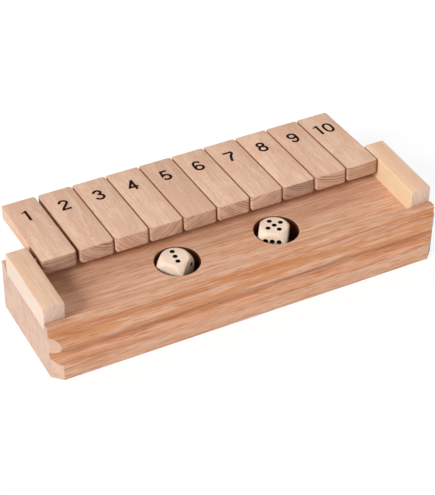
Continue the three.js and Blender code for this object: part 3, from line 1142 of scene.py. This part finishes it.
@dataclass
class Numeral:
    """A printed number, drawn as strokes of one width in shares of its height."""

    height: float = 11.8 * MM
    stroke_share: float = 0.155
    flag_share: float = 0.095
    film: float = 0.05 * MM
    arc_steps: int = 20
    half_width: float = 0.235
    advance: float = 0.62

    def sweep(self, centre: Pair, radii: Pair, start: float, end: float) -> list[Pair]:
        """Gives points on an oval's arc.

        Args:
            centre: The oval's centre.
            radii: Its half width and half height.
            start: The first angle in degrees, from +X towards +Y.
            end: The last angle.

        Returns:
            The points.
        """
        steps = self.arc_steps
        angles = [math.radians(start + (end - start) * i / steps) for i in range(steps + 1)]
        return [
            (centre[0] + radii[0] * math.cos(angle), centre[1] + radii[1] * math.sin(angle))
            for angle in angles
        ]

    def strokes(self, digit: str) -> list[list[Pair]]:
        """Gives a digit's strokes as lines of points.

        Args:
            digit: The digit.

        Returns:
            The points of each stroke, in shares of the height, centred on x = 0.
        """
        half = self.stroke_share / 2
        top = 1 - half
        wide = self.half_width
        if digit == "1":
            return [[(0.02, 0), (0.02, 1.0)]]
        if digit == "2":
            bowl = self.sweep((-0.005, 0.72), (wide - 0.015, top - 0.72), 188, -30)
            return [bowl + [(-0.17, 0.19), (-0.215, half), (wide + 0.03, half)]]
        if digit == "3":
            upper = self.sweep((-0.01, 0.735), (0.195, top - 0.735), 182, -78)
            lower = self.sweep((0, half + 0.225), (wide, 0.225), 78, -172)
            return [upper + [(-0.03, 0.525)], [(-0.03, 0.525)] + lower]
        if digit == "4":
            return [[(0.1, 0), (0.1, 1)], [(0.1, 0.93), (-0.24, 0.3), (0.285, 0.3)]]
        if digit == "5":
            bowl = self.sweep((-0.005, 0.315), (wide, 0.315 - half), 138, -158)
            return [[(0.23, top), (-0.14, top), (-0.195, 0.47)] + bowl[1:]]
        if digit == "6":
            ring = self.sweep((0, 0.305), (wide, 0.305 - half), 180, -180)
            back = self.sweep((0, 0.56), (wide, top - 0.56), 180, 32)
            return [ring, [(-wide, 0.3)] + back]
        if digit == "7":
            leg = self.sweep((0.52, -0.15), (0.62, 1.0), 118, 172)
            return [[(-0.3, top - 0.03), (0.21, top - 0.03)] + leg]
        if digit == "8":
            return [
                self.sweep((0, 0.745), (0.195, top - 0.745), 180, -180),
                self.sweep((0, half + 0.235), (wide, 0.235), 180, -180),
            ]
        if digit == "9":
            return [[(-x, 1 - y) for x, y in stroke] for stroke in self.strokes("6")]
        bowl_rise = 0.3
        cap = self.sweep((0, top - bowl_rise), (wide, bowl_rise), 0, 180)
        cup = self.sweep((0, half + bowl_rise), (wide, bowl_rise), 180, 360)
        return [cap + cup + cap[:1]]

    def flags(self, digit: str) -> list[list[Pair]]:
        """Gives a digit's thin strokes, of which only the 1 has one."""
        return [self.sweep((-0.235, 1.03), (0.25, 0.185), -90, -12)] if digit == "1" else []

    def ribbon(self, points: list[Pair], shift: float, share: float) -> Thing:
        """Makes one stroke as a thin closed solid on the plane z = 0.

        Args:
            points: The line along its middle, in shares of the height.
            shift: How far it is moved along X, as a share of the height.
            share: Its width, as a share of the height.

        Returns:
            The stroke.
        """
        bm = bmesh.new()
        closed = (Vector(points[0]) - Vector(points[-1])).length < NEAR
        places = points[:-1] if closed else points
        verts = [bm.verts.new(((x + shift) * self.height, y * self.height, 0)) for x, y in places]
        edges = [bm.edges.new(pair) for pair in zip(verts, verts[1:])]
        if closed:
            edges.append(bm.edges.new((verts[-1], verts[0])))
        grown = bmesh.ops.extrude_edge_only(bm, edges=edges)
        raised = [item for item in grown["geom"] if isinstance(item, bmesh.types.BMVert)]
        bmesh.ops.translate(bm, vec=(0, 0, self.film), verts=raised)
        ribbon = solid_object(bm, "stroke")
        solidify = ribbon.modifiers.new("width", "SOLIDIFY")
        solidify.thickness = share * self.height
        solidify.offset = 0
        solidify.use_even_offset = True
        bake_modifiers(ribbon)
        return ribbon

    def build(self, text: str, place: Matrix) -> Thing:
        """Builds and dresses a number.

        Args:
            text: Its digits.
            place: The place of the middle of its foot, with +X along the writing.

        Returns:
            The number.
        """
        numeral = None
        for index, digit in enumerate(text):
            shift = (index - (len(text) - 1) / 2) * self.advance
            strokes = [(points, self.stroke_share) for points in self.strokes(digit)]
            strokes += [(points, self.flag_share) for points in self.flags(digit)]
            for points, share in strokes:
                ribbon = self.ribbon(points, shift, share)
                if numeral is None:
                    numeral = ribbon
                    continue
                bm = bmesh.new()
                bm.from_mesh(ribbon.data)
                bpy.data.meshes.remove(ribbon.data)
                combine(numeral, [bm], "UNION")
        numeral.name = f"numeral_{text}"
        numeral.data.transform(place)
        dress(numeral, NUMERAL_INK.material())
        tidy_mesh(numeral)
        return numeral


@dataclass
class Tile:
    """One number tile on the rod, drawn flat and then laid back on the rear lip."""

    number: int
    cut: Cut
    width: float = 24 * MM
    length: float = 71 * MM
    thickness: float = 10.7 * MM
    front_reach: float = 10 * MM
    corner: Rounding = (2.1 * MM, 6)
    rear_corner: Rounding = (3.6 * MM, 8)
    top_ease: Rounding = (0.4 * MM, 3)
    end_ease: Rounding = (0.7 * MM, 4)
    bottom_round: Rounding = (3.2 * MM, 8)
    rear_round: Rounding = (2.0 * MM, 5)
    numeral_foot: Pair = (-0.45 * MM, 35.4 * MM)
    overrun: float = 1 * MM
    drill_reach: float = 14.4 * MM
    clear: float = 0.01 * MM

    def laid(self) -> Matrix:
        """Gives the place of the tile, whose own axes have the rod's axis as their X.

        Returns:
            The place, whose lean comes from length * sin(lean) + thickness * cos(lean) = height.
        """
        node = f"tile_{self.number}"
        low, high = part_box(node)
        _, y, z = middle_of("pivot_rod")
        reach = math.hypot(self.length, self.thickness)
        lean = math.asin((high.z - low.z) / reach) - math.atan2(self.thickness, self.length)
        return Matrix.Translation((middle_of(node).x, y, z)) @ Matrix.Rotation(-lean, 4, "X")

    def rounded_run(self, low: Vector, high: Vector) -> Mesh:
        """Makes a run with rounded lower edges and a rounded rear top edge, to cut the tile to.

        Args:
            low: The tile's lower corner.
            high: Its upper corner.

        Returns:
            The run, whose common part with the tile is kept.
        """
        clear = Vector([self.clear] * 3)
        bm = block(low - clear - Y_AXIS * self.overrun, high + clear)
        lower = [edge for edge in edges_along(bm, Y_AXIS) if edge.verts[0].co.z < 0]
        bevel(bm, lower, self.bottom_round)
        middle = (low + high) / 2
        rear = [
            edge for edge in edges_along(bm, X_AXIS)
            if edge.verts[0].co.y > middle.y and edge.verts[0].co.z > middle.z
        ]
        bevel(bm, rear, self.rear_round)
        return bm

    def build(self) -> tuple[Thing, Thing]:
        """Builds and dresses the tile and its number.

        Returns:
            The tile and the number.
        """
        half = Vector((self.width / 2, 0, self.thickness / 2))
        low = Vector((-half.x, -self.front_reach, -half.z))
        high = Vector((half.x, self.length - self.front_reach, half.z))
        bm = block(low, high)
        upright = edges_along(bm, Z_AXIS)
        rear = [edge for edge in upright if edge.verts[0].co.y > 0]
        bevel(bm, [edge for edge in upright if edge not in rear], self.corner)
        bevel(bm, rear, self.rear_corner)
        bevel(bm, rim_edges(bm, Z_AXIS, high.z), self.top_ease)
        bevel(bm, rim_edges(bm, Z_AXIS, low.z), self.end_ease)
        tile = solid_object(bm, f"number_tile_{self.number}")
        combine(tile, [self.rounded_run(low, high)], "INTERSECT")
        middle = self.laid() @ ((low + high) / 2)
        dress(tile, TILE_WOOD.material(self.cut, Grain.ALONG_TILE, middle))
        reach = X_AXIS * self.drill_reach
        combine(tile, [bar(ROD_BORE, -reach, reach)])
        tile.data.transform(self.laid())
        tidy_mesh(tile)
        body = f"tile_{self.number}"
        settle(tile, body, "tile_wood", body)
        foot = Matrix.Translation((*self.numeral_foot, self.thickness / 2))
        numeral = Numeral().build(str(self.number), self.laid() @ foot)
        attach(numeral, body)
        return tile, numeral


@dataclass
class Die:
    """A wooden die: a cube whose corners are rounded off by a sphere, with painted pips."""

    side: str
    turn: float
    values: dict[str, int]
    cut: Cut
    edge: float = 19.6 * MM
    round_radius: float = 13.3 * MM
    softness: float = 56.0
    divisions: int = 39
    pip_radius: float = 1.72 * MM
    pip_depth: float = 0.9 * MM
    pip_spacing: float = 3.7 * MM
    smooth_under: float = 30.0

    def body_mesh(self) -> Mesh:
        """Makes the rounded cube.

        Every point of a finely divided cube is drawn in to the smaller of the cube and the ball, with
        a soft change from one to the other.

        Returns:
            The mesh.
        """
        bm = bmesh.new()
        bmesh.ops.create_cube(bm, size=self.edge)
        bmesh.ops.subdivide_edges(bm, edges=bm.edges, cuts=self.divisions, use_grid_fill=True)
        for vert in bm.verts:
            reach = vert.co.length / self.round_radius
            vert.co *= (1 + reach**self.softness) ** (-1 / self.softness)
        return bm

    def pips(self) -> list[Mesh]:
        """Makes the drills of all the pips, whose walls take the second material.

        Returns:
            The drills.
        """
        ball = (self.pip_radius**2 + self.pip_depth**2) / (self.pip_depth * 2)
        drills = []
        for face, value in self.values.items():
            across, up, out = (Vector(axis) for axis in FACE_AXES[face])
            for x, y in PIP_SHARES[value]:
                place = out * (self.edge / 2 + ball - self.pip_depth)
                place += (across * x + up * y) * self.pip_spacing
                bm = bmesh.new()
                bmesh.ops.create_icosphere(bm, subdivisions=4, radius=ball)
                bmesh.ops.translate(bm, vec=place, verts=bm.verts)
                for item in bm.faces:
                    item.material_index = 1
                drills.append(bm)
        return drills

    def build(self) -> Thing:
        """Builds and dresses the die.

        Returns:
            The die.
        """
        node = f"die_{self.side}"
        die = solid_object(self.body_mesh(), f"{self.side}_die")
        middle = middle_of(node)
        dress(die, DICE_WOOD.material(self.cut, Grain.UPRIGHT, middle), PIP_PAINT.material())
        combine(die, self.pips())
        die.data.transform(Matrix.Translation(middle) @ Matrix.Rotation(math.radians(self.turn), 4, "Z"))
        tidy_mesh(die, self.smooth_under)
        return settle(die, node, "dice_wood", node)


def settle(piece: Thing, body: str, slot: str, *nodes: str) -> Thing:
    """Rides a finished piece on its body in place of its nodes.

    Args:
        piece: The piece.
        body: The body that it rides on.
        slot: Not used.
        *nodes: The nodes that it stands for.

    Returns:
        The piece.
    """
    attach(piece, body)
    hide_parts(*nodes)
    return piece


@dataclass
class Rod:
    """The steel rod through all the tiles."""

    ease: float = 0.4 * MM
    sides: int = 48

    def build(self) -> Thing:
        """Builds and dresses the rod.

        Returns:
            The rod.
        """
        low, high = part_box("pivot_rod")
        _, y, z = middle_of("pivot_rod")
        ends = (Vector((low.x, y, z)), Vector((high.x, y, z)))
        rod = solid_object(bar((high.z - low.z) / 2, *ends, self.ease, self.sides), "rod")
        dress(rod, ROD_STEEL.material())
        return settle(rod, "tray", "rod_steel", "pivot_rod")


@dataclass
class Studio:
    """The floor, the light and the camera."""

    focal_pixels: float = 1674.9
    image_height: float = 495
    sensor: float = 36.0
    azimuth: float = -28.069
    elevation: float = 38.783
    roll: float = 0.989
    target: tuple[float, float, float] = (1.09 * MM, 13.16 * MM, 18.53 * MM)
    distance: float = 1113.8 * MM
    floor_size: float = 12.0
    floor_colour: Colour = (0.9, 0.9, 0.9)
    seen_floor: Colour = (0.2, 0.2, 0.2)
    seen_lift: float = 0.84
    tooth_scale: float = 60.0
    sky_strength: float = 0.22
    lamps: tuple[tuple[str, Vector, float, float], ...] = (
        ("key", Vector((-0.8, -0.31, 0.51)), 2.65, 22.0),
        ("rear", Vector((0.0, 0.72, 0.69)), 1.0, 36.0),
        ("front", Vector((0.2, -0.85, 0.5)), 0.6, 60.0),
    )

    def camera(self) -> None:
        """Sets the camera at the photograph's viewpoint."""
        angles = (90 - self.elevation, 0, self.azimuth)
        turn = Euler([math.radians(angle) for angle in angles]).to_matrix().to_4x4()
        back = turn.col[2].xyz * self.distance
        data = bpy.data.cameras.new("viewpoint")
        data.sensor_width = self.sensor
        data.lens = self.focal_pixels * self.sensor / self.image_height
        data.clip_end = self.floor_size * 2
        camera = bpy.data.objects.new("viewpoint", data)
        roll = Matrix.Rotation(math.radians(self.roll), 4, "Z")
        camera.matrix_world = Matrix.Translation(Vector(self.target) + back) @ turn @ roll
        bpy.context.scene.collection.objects.link(camera)
        bpy.context.scene.camera = camera

    def floor(self) -> None:
        """Lays the pale floor, which keeps the game's shadow."""
        bm = bmesh.new()
        bmesh.ops.create_grid(bm, x_segments=1, y_segments=1, size=self.floor_size / 2)
        floor = solid_object(bm, "floor")
        shader = Shader("floor_paper")
        tooth = shader.line(shader.noise(shader.place, self.tooth_scale), slope=0.01, level=0.995)
        paper, seen_paper = (
            shader.join("BsdfDiffuse", shader.shade(colour, tooth))
            for colour in (self.floor_colour, self.seen_floor)
        )
        lift = shader.join("Emission", (1, 1, 1), self.seen_lift)
        light = shader.node("LightPath").outputs
        seen = shader.math("MAXIMUM", light["Is Camera Ray"], light["Is Glossy Ray"])
        seen = shader.math("MAXIMUM", seen, light["Is Transmission Ray"])
        lifted = shader.join("AddShader", seen_paper, lift)
        dress(floor, shader.finish(shader.join("MixShader", seen, paper, lifted)))

    def light(self) -> None:
        """Sets a soft sky, a soft lamp from the left, and weaker ones from the rear and the front."""
        world = bpy.data.worlds.new("studio")
        bpy.context.scene.world = world
        world.use_nodes = True
        background = world.node_tree.nodes["Background"]
        background.inputs["Color"].default_value = (1.0, 1.0, 1.0, 1.0)
        background.inputs["Strength"].default_value = self.sky_strength
        for name, source, strength, spread in self.lamps:
            lamp = bpy.data.lights.new(name, "SUN")
            lamp.energy = strength
            lamp.angle = math.radians(spread)
            thing = bpy.data.objects.new(name, lamp)
            thing.matrix_world = Z_AXIS.rotation_difference(source).to_matrix().to_4x4()
            bpy.context.scene.collection.objects.link(thing)

    def build(self) -> None:
        """Builds the studio round the game."""
        self.camera()
        self.floor()
        self.light()
        bpy.context.scene.view_settings.view_transform = "Standard"


@dataclass
class Game:
    """The whole game, in the order in which it is put together."""

    # How far a tile's sides lean to a dark tone, as painted shade: in the narrow gaps, in the wide gap
    # between tiles 1 and 2, and where the left cheek shades tile 1; last, the darker painted shade of tiles
    # 1 and 2.
    rub: float = 0.45
    gap_rub: float = 0.7
    cheek_rub: float = 0.9
    gap_tone: Colour = (0.24, 0.07, 0.02)

    def tile_cuts(self) -> list[Cut]:
        """Gives each tile's own place in the log, which sets the rings on its end.

        Returns:
            The ten tiles' cuts, from tile 1 on.
        """
        return [
            Cut(3, 60 * MM, seed=0.1, end_tint=0.98, end_share=1.25),
            Cut(-24, 30 * MM, warmth=0.4, seed=1.3, pitch=1.7, end_tint=1.05),
            Cut(-42, 90 * MM, warmth=0.25, seed=2.2, pitch=0.9, end_tint=1.26),
            Cut(40, 90 * MM, warmth=0.1, seed=3.4, tint=1.02, pitch=0.85, end_tint=1.15),
            Cut(28, 80 * MM, warmth=0.55, seed=4.6, tint=0.95, end_tint=1.17),
            Cut(-40, 60 * MM, warmth=0.2, seed=5.8, pitch=1.2, end_tint=1.12),
            Cut(24, 80 * MM, warmth=0.4, seed=6.1, end_tint=1.18),
            Cut(-10, 20 * MM, warmth=0.15, seed=7.7, tint=1.04, pitch=1.2, end_tint=0.82),
            Cut(-12, 60 * MM, warmth=0.5, seed=8.9, pitch=1.3, end_tint=1.13),
            Cut(2, 90 * MM, seed=9.4, pitch=1.1, end_tint=1.06),
        ]

    def rubbed(self, number: int, cut: Cut) -> Cut:
        """Darkens the sides and upper edges of a tile that face its neighbours across the gaps: painted
        shade.

        Args:
            number: The tile's number.
            cut: Its wood.

        Returns:
            The wood with its sides' painted shade.
        """
        outer = {1: (self.cheek_rub, self.gap_rub), 2: (self.gap_rub, self.rub), 10: (self.rub, 0)}
        sides = outer.get(number, (self.rub, self.rub))
        edges = {1: (0, 0), 2: (0, 1)}.get(number, (1, 1))
        cut = replace(cut, side_shares=sides, edge_shares=edges)
        if number <= 2:
            cut = replace(cut, side_tone=self.gap_tone)
        if number == 1:
            # Tile 1's left side is darkened only in front of the left cheek's rear: the cheek's painted
            # shadow.
            cut = replace(cut, side_rears=(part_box("left_end_block")[1].y, 0))
        return cut

    def dress_pegs(self) -> None:
        """Gives the hidden pegs, which keep their own shape, their wood."""
        for node in PEG_NODES:
            wood = PEG_WOOD.material(Cut(heart=12 * MM, seed=2.7), Grain.UPRIGHT, middle_of(node))
            dress(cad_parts[node], wood)

    def build(self) -> None:
        """Builds every piece and reports it."""
        report(Tray().build())
        # Each cheek's side facing -X, which faces the lamp from the left, leans to a tone of its own set to
        # how that lit side looks: painted light.
        left = Cut(
            ring_angle=60, heart=60 * MM, warmth=0.4, seed=1.9, end_tint=1.15,
            side_tone=(0.75, 0.62, 0.53), side_shares=(0.85, 0),
        )
        right = Cut(
            ring_angle=-70, heart=60 * MM, warmth=0.55, seed=6.4, tint=1.05, end_tint=1.15,
            side_tone=(0.76, 0.6, 0.38), side_shares=(0.8, 0),
        )
        report(Cheek("left", left).build())
        report(Cheek("right", right).build())
        self.dress_pegs()
        report(Rod().build())
        for number, cut in enumerate(self.tile_cuts(), start=1):
            for piece in Tile(number, self.rubbed(number, cut)).build():
                report(piece)
        left_values = {"top": 3, "bottom": 4, "front": 1, "rear": 6, "right": 2, "left": 5}
        right_values = {"top": 5, "bottom": 2, "front": 6, "rear": 1, "right": 4, "left": 3}
        report(Die("left", -51, left_values, Cut(heart=35 * MM, seed=0.7)).build())
        report(Die("right", -35, right_values, Cut(heart=30 * MM, seed=3.3)).build())


def report(piece: Thing) -> None:
    """Logs a finished piece with its size."""
    size = [round(value / MM, 1) for value in piece.dimensions]
    log.info("%s: %d faces, %s mm", piece.name, len(piece.data.polygons), size)


def main() -> None:
    """Builds the studio and the game."""
    logging.basicConfig(level=logging.INFO, format="%(name)s: %(message)s")
    Studio().build()
    Game().build()


if __name__ == "__main__":
    main()
